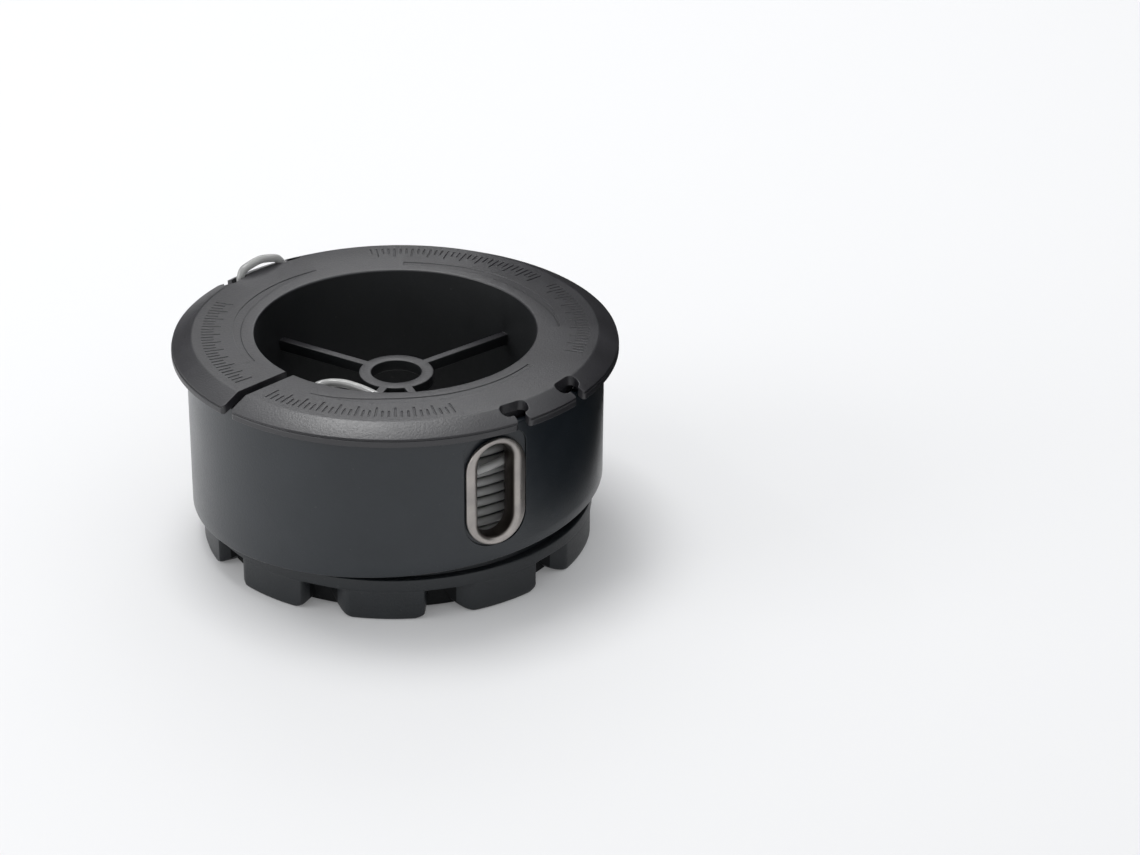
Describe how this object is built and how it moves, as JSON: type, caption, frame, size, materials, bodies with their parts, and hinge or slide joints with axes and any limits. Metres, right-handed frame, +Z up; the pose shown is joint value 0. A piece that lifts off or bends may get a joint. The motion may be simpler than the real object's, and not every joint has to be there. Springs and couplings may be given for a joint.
{
  "type": "string trimmer line reel",
  "caption": "Toothed trimmer reel: bored hub with a spider, bevelled flange, wound nylon line parked in its notches, and a turning guard with a metal line eyelet.",
  "frame": {"origin": "centre of the plane that the teeth stand on, on the reel's axis", "axes": "+Z up along the reel's axis, from the teeth to the flange; -Y towards the front, where the eyelet is right of the middle"},
  "size_m": [0.0856, 0.0856, 0.0448],
  "materials": {
    "reel_plastic": "matte, finely textured moulding",
    "base_plastic": "matte moulding",
    "guard_plastic": "matte, finely textured moulding",
    "eyelet_steel": "satin",
    "line_nylon": "smooth, slightly translucent"
  },
  "bodies": {
    "reel": {"reel_body": "reel_plastic", "toothed_base": "base_plastic", "line_core": "line_nylon", "line_winding": "line_nylon", "line_anchor": "line_nylon"},
    "guard": {"line_guard": "guard_plastic", "eyelet": "eyelet_steel"}
  },
  "joints": [
    {"name": "guard_turn", "type": "hinge", "parent": "reel", "child": "guard", "pos_m": [0, 0, 0.0245], "axis": [0, 0, 1], "range_deg": [-18, 50]}
  ]
}
